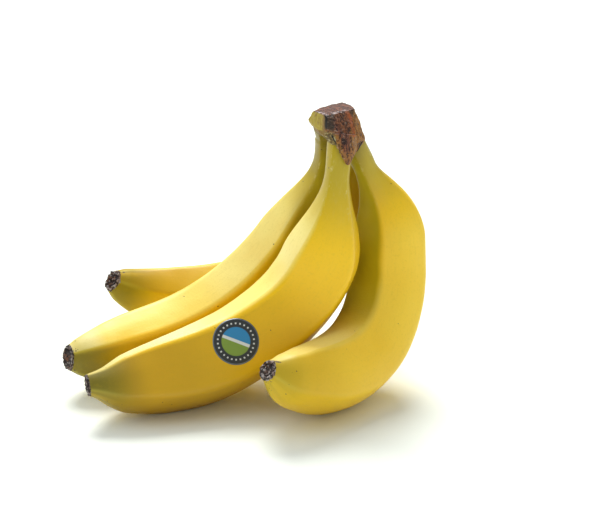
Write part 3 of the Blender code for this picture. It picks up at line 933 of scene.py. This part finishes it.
def remeshed(mesh, voxel):
    # one closed skin round all the solids of a mesh
    data = bpy.data.meshes.new("rough")
    mesh.to_mesh(data)
    mesh.free()
    rough = bpy.data.objects.new("rough", data)
    bpy.context.scene.collection.objects.link(rough)
    skin = rough.modifiers.new("skin", "REMESH")
    skin.mode = "VOXEL"
    skin.voxel_size = voxel
    closed = rough.evaluated_get(bpy.context.evaluated_depsgraph_get())
    result = bmesh.new()
    result.from_mesh(bpy.data.meshes.new_from_object(closed))
    bpy.data.objects.remove(rough)
    return result


def nearLines(point, lines, reach):
    # 1 on the nearest line, 0 beyond its reach
    return smoothStep(reach, 0.3 * reach, min(segmentDistance(point, *line) for line in lines))


def paintCrown(mesh):
    # where the crown's finishes lie, in layers that its material reads
    shape = crownShape
    names = ("cutTop", "edgeHighlight", "cutFacet", "facetRim", "strip", "umberAndShade", "tissue", "amberAndHighlight", "streak",
             "torn")
    layers = {name: floatLayer(mesh, name) for name in names}
    edge = shape["frontEdge"]

    def fade(name, value):
        return smoothStep(*shape["fades"][name], value)

    for vert in mesh.verts:
        place, normal = vert.co, vert.normal
        x, z = place.x, place.z
        front = fade("frontLean", -normal.y)
        border = shape["borderX"] + (shape["borderTop"] - z) * shape["borderLean"]
        right = x - border - shape["borderFade"] * lumps(place, 0.002, 8.0)
        tissue = smoothStep(shape["borderFade"], -shape["borderFade"], right)
        tissue *= smoothStep(shape["tissueFade"], -shape["tissueFade"], z - shape["tissueTop"])
        facet = fade("facetLean", -normal.x) * fade("facetX", x)
        facet *= fade("facetZ", z) * fade("facetTopLean", normal.z)
        shade = nearLines(place.xz, shape["shade"], shape["shadeReach"])
        paint = {
            "cutTop": fade("topLean", normal.z) * fade("topZ", z),
            # painted highlight along the top's front edge
            "edgeHighlight": nearLines(place.xy, zip(edge, edge[1:]), shape["edgeHighlightReach"]) * fade("edgeHighlightX", x),
            "cutFacet": facet,
            "facetRim": max(fade("rimX", x), fade("rimZ", z)),
            "strip": front * fade("stripLeftX", x) * fade("stripRightX", x) * fade("stripZ", z),
            # dark umber on the left of the front, joined by painted shade under the top's right corner
            "umberAndShade": front * max(fade("umberX", x) * fade("umberZ", z), shade),
            "tissue": tissue,
            # amber at the skin's border and low down, and painted highlight on the faces that lean right
            "amberAndHighlight": max(fade("amberBorder", right) * fade("amberZ", z), 0.7 * fade("amberLowZ", z),
                         fade("rightHighlightLean", normal.x)),
            "streak": front * nearLines(place.xz, shape["streak"], shape["streakReach"]),
            "torn": fade("tornLean", -normal.y) * nearLines(place.xz, shape["torn"], shape["tornReach"]),
        }
        for name, value in paint.items():
            vert[layers[name]] = value
    return layers["tissue"]


def makeCrown(material):
    shape = crownShape
    mesh = bmesh.new()
    for x, y in shape["topCorners"]:
        mesh.verts.new((x, y, shape["top"]))
    for corner in shape["sideCorners"]:
        mesh.verts.new(corner)
    for x, y in shape["seatCorners"]:
        mesh.verts.new((x, y, seatHeight(x)))
    bmesh.ops.convex_hull(mesh, input=mesh.verts)
    for name, thickness, rows in tongues:
        addTongue(mesh, fruits[name], thickness, rows)
    bmesh.ops.recalc_face_normals(mesh, faces=mesh.faces)
    mesh = remeshed(mesh, shape["voxel"])
    for i in range(shape["smoothing"]):
        bmesh.ops.smooth_vert(mesh, verts=mesh.verts, factor=0.5,
                              use_axis_x=True, use_axis_y=True, use_axis_z=True)
    mesh.normal_update()
    tissue = paintCrown(mesh)
    moves = []
    for vert in mesh.verts:
        place = vert.co
        fibres = lumps(Vector((place.x, place.y, place.z * 0.35)), shape["fibreSize"], 2.0)
        knobs = lumps(place, shape["knobSize"], 6.0)
        folds = lumps(Vector((place.x * 0.4, place.y * 0.4, place.z)), shape["foldSize"], 4.0)
        relief = 1.2 * fibres + 1.4 * knobs + 3.0 * folds * vert[tissue]
        moves.append(vert.normal * shape["fibreDepth"] * relief)
    for vert, move in zip(mesh.verts, moves):
        vert.co += move
        vert.co.z = min(vert.co.z, shape["top"])
    bmesh.ops.translate(mesh, verts=mesh.verts, vec=-bunchMiddle)
    return meshObject("crownBlock", mesh, material, "crown")


crownLooks = {
    "skin": onScreen(112, 66, 48),
    "skinDark": onScreen(48, 28, 22),
    "skinOrange": onScreen(156, 92, 52),
    "skinPale": onScreen(160, 142, 124),
    "amberAndHighlight": onScreen(168, 116, 48),
    "streak": onScreen(168, 84, 34),
    "umberAndShade": onScreen(58, 50, 38),
    "strip": onScreen(22, 20, 18),
    "cutTop": onScreen(108, 70, 56),
    "cutTopDark": onScreen(48, 30, 26),
    "cutTopOrange": onScreen(138, 82, 50),
    "cutTopHighlight": onScreen(208, 196, 192),
    "cutFacet": onScreen(176, 155, 65),
    "cutFacetBrown": onScreen(126, 92, 56),
    "tissue": onScreen(130, 110, 58),
    "tissueDark": onScreen(92, 74, 44),
    "tissuePale": onScreen(206, 196, 150),
    "gloss": 0.3,
    # how fine each pattern is
    "pitScale": 1000.0,
    "fibreScale": 1050.0,
    "broadScale": 330.0,
    "spotScale": 950.0,
    "topScale": 950.0,
    "layerScale": 1500.0,
}


def makeCrownSkin(looks):
    shader = Shader("crownSkin")
    layer = shader.valueLayer
    place = shader.objectPlace()
    fibred = shader.stretched(place, (1.0, 1.0, 0.3))
    pits = shader.noise(place, looks["pitScale"], 2.5, 0.6)
    fibres = shader.noise(fibred, looks["fibreScale"], 2.5, 0.6)
    broad = shader.noise(place, looks["broadScale"])

    # dried skin: dark red brown, with orange spots and grey flecks
    spots = shader.cells(fibred, looks["spotScale"]).below(0.20, 0.42)
    spotTint = shader.cells(fibred, looks["spotScale"], 1).above(0.42, 0.60)
    skin = shader.mix(fibres.above(0.43, 0.55), looks["skinDark"], looks["skin"])
    skin = shader.mix(spots * spotTint * 0.7, skin, looks["skinOrange"])
    skin = shader.mix(broad.above(0.50, 0.66) * 0.35, skin, looks["skinOrange"])
    # dark umber on the left of the front, and painted shade under the top's right corner
    skin = shader.mix(layer("umberAndShade") * 0.9, skin, looks["umberAndShade"])
    # amber skin at the border and low down, with painted highlight on the faces that lean right
    skin = shader.mix(layer("amberAndHighlight") * fibres.above(0.30, 0.55) * 0.85, skin, looks["amberAndHighlight"])
    skin = shader.mix(layer("streak") * fibres.above(0.25, 0.5) * 0.8, skin, looks["streak"])
    skin = shader.mix(pits.below(0.38, 0.44) * 0.85, skin, looks["skinDark"])
    skin = shader.mix(pits.above(0.62, 0.68) * 0.6, skin, looks["skinPale"])

    # the cut top, with a painted highlight in pale streaks, broken by dark pits, along its front edge
    topFibres = shader.noise(shader.stretched(place, (0.5, 1.0, 1.0)), looks["topScale"], 2.5, 0.6)
    top = shader.mix(topFibres.below(0.49, 0.55), looks["cutTop"], looks["cutTopDark"])
    top = shader.mix(pits.above(0.50, 0.56) * 0.8, top, looks["cutTopOrange"])
    top = shader.mix(broad.below(0.40, 0.50) * 0.5, top, looks["cutTopDark"])
    top = shader.mix(layer("edgeHighlight") * pits.below(0.44, 0.50) * 0.85, top, looks["cutTopDark"])
    top = shader.mix(layer("edgeHighlight") * topFibres.above(0.53, 0.59) * 0.85, top, looks["cutTopHighlight"])

    # the green cut facet, browned at its rims
    facet = shader.mix(fibres.below(0.32, 0.48) * 0.6, looks["cutFacet"], looks["cutFacetBrown"])
    rim = (layer("facetRim") + (broad - 0.5) * 0.8).above(0.35, 0.75)
    facet = shader.mix(rim * 0.75, facet, looks["cutFacetBrown"])

    # crumpled tissue over the middle neck
    layered = shader.noise(shader.stretched(place, (0.3, 0.3, 1.0)), looks["layerScale"], 3.0, 0.6)
    tissue = shader.mix(layered.below(0.40, 0.52), looks["tissue"], looks["tissueDark"])
    tissue = shader.mix(layered.above(0.56, 0.66) * 0.8, tissue, looks["tissuePale"])

    colour = shader.mix(layer("tissue"), skin, tissue)
    colour = shader.mix(layer("torn"), colour, looks["strip"])
    colour = shader.mix(layer("strip") * 0.95, colour, looks["strip"])
    colour = shader.mix(layer("cutTop"), colour, top)
    colour = shader.mix(layer("cutFacet"), colour, facet)
    height = pits * 0.0004 + fibres * 0.0004 + topFibres * 0.0003
    return shader.finish({
        "Base Color": colour,
        "Roughness": (0.5 + (pits - 0.5) * 0.3 + layer("cutTop") * 0.2).clamped(),
        "Normal": shader.bump(height),
        "Specular IOR Level": looks["gloss"],
    })


# Label: a round of paper laid on the peel, with a plain dotted and striped design

labelShape = {
    "centre": Vector((-0.0293, -0.0330, 0.0352)),
    "normal": Vector((0.14, -0.86, 0.48)),
    "radius": 0.0108,
    "lift": 0.00008,
    "thickness": 0.00012,
    "castFrom": 0.02,         # metres above the peel, where the rays that find it start
    "sides": 72,
    "rings": 16,
}


def makeLabel(peelPiece, material):
    shape = labelShape
    data = peelPiece.data
    corners = [v.co.copy() for v in data.vertices]
    peel = BVHTree.FromPolygons(corners, [tuple(p.vertices) for p in data.polygons])
    normal = shape["normal"].normalized()
    across = Vector((0.0, 0.0, 1.0)).cross(normal).normalized()
    upward = normal.cross(across)
    middle = shape["centre"] - bunchMiddle
    mesh = bmesh.new()
    start = bmesh.ops.create_circle(mesh, segments=shape["sides"], radius=shape["radius"], cap_ends=False)
    rim = list({e for v in start["verts"] for e in v.link_edges})
    for i in range(shape["rings"]):
        grown = bmesh.ops.extrude_edge_only(mesh, edges=rim)["geom"]
        rim = [e for e in grown if isinstance(e, bmesh.types.BMEdge) and e.is_boundary]
        inner = [v for v in grown if isinstance(v, bmesh.types.BMVert)]
        shrink = 1.0 - 1.0 / (shape["rings"] - i)
        bmesh.ops.scale(mesh, verts=inner, vec=(shrink, shrink, 1.0))
    bmesh.ops.remove_doubles(mesh, verts=mesh.verts, dist=1e-7)
    bmesh.ops.recalc_face_normals(mesh, faces=mesh.faces)
    flat = {v: v.co.copy() for v in mesh.verts}
    sheet = mesh.loops.layers.uv.new("sheet")
    for face in mesh.faces:
        for loop in face.loops:
            loop[sheet].uv = (flat[loop.vert].xy / shape["radius"]) * 0.5 + Vector((0.5, 0.5))
    for vert, spot in flat.items():
        place = middle + across * spot.x + upward * spot.y
        hit = peel.ray_cast(place + normal * shape["castFrom"], -normal)[0]
        vert.co = hit + normal * shape["lift"]
    bmesh.ops.solidify(mesh, geom=mesh.faces[:], thickness=shape["thickness"])
    return meshObject("paperLabel", mesh, material, "label")


labelLooks = {
    "ground": onScreen(38, 43, 44),
    "rim": onScreen(92, 104, 112),
    "blue": onScreen(38, 130, 182),
    "green": onScreen(122, 150, 52),
    "pale": onScreen(212, 216, 212),
    "fieldRadius": 0.62,      # of the label's radius
    "ringRadius": 0.78,
    "stripeTurn": 24.0,
    "dots": 26,
    "roughness": 0.35,
}


def makeLabelPaper(looks):
    shader = Shader("labelPaper")
    sheet = shader.node("ShaderNodeUVMap", {"uv_map": "sheet"})
    centred = shader.stretched(shader.shifted(sheet, (-0.5, -0.5, 0.0)), (2.0, 2.0, 0.0))
    turn = (0.0, 0.0, math.radians(looks["stripeTurn"]))
    turned = shader.node("ShaderNodeMapping", None, {"Vector": centred, "Rotation": turn})
    x, y = [shader.node("ShaderNodeSeparateXYZ", None, {0: turned}, output=i) for i in (0, 1)]
    radius = shader.distance(centred, (0.0, 0.0, 0.0))
    colour = shader.mix(radius.above(0.94, 0.96), looks["ground"], looks["rim"])
    field = radius.below(looks["fieldRadius"] - 0.02, looks["fieldRadius"] + 0.02)
    stripes = shader.mix(y.above(0.0, 0.04), looks["green"], looks["blue"])
    stripes = shader.mix((y - 0.02).size().below(0.05, 0.08), stripes, looks["pale"])
    colour = shader.mix(field, colour, stripes)
    angle = y.maths("ARCTAN2", y, x)
    wave = (angle * looks["dots"]).wave()
    ring = (radius - looks["ringRadius"]).size().below(0.02, 0.05)
    colour = shader.mix(ring * wave.above(0.3, 0.6), colour, looks["pale"])
    return shader.finish({"Base Color": colour, "Roughness": looks["roughness"]})


makeCamera(cameraSetup)
makeStudio(studio)
print("camera and studio ready")

pieces = {name: makeFruit(name, spec, makePeel(name, spec, peelLooks)) for name, spec in fruits.items()}
makeCrown(makeCrownSkin(crownLooks))
makeLabel(pieces["fruitMiddle"], makeLabelPaper(labelLooks))
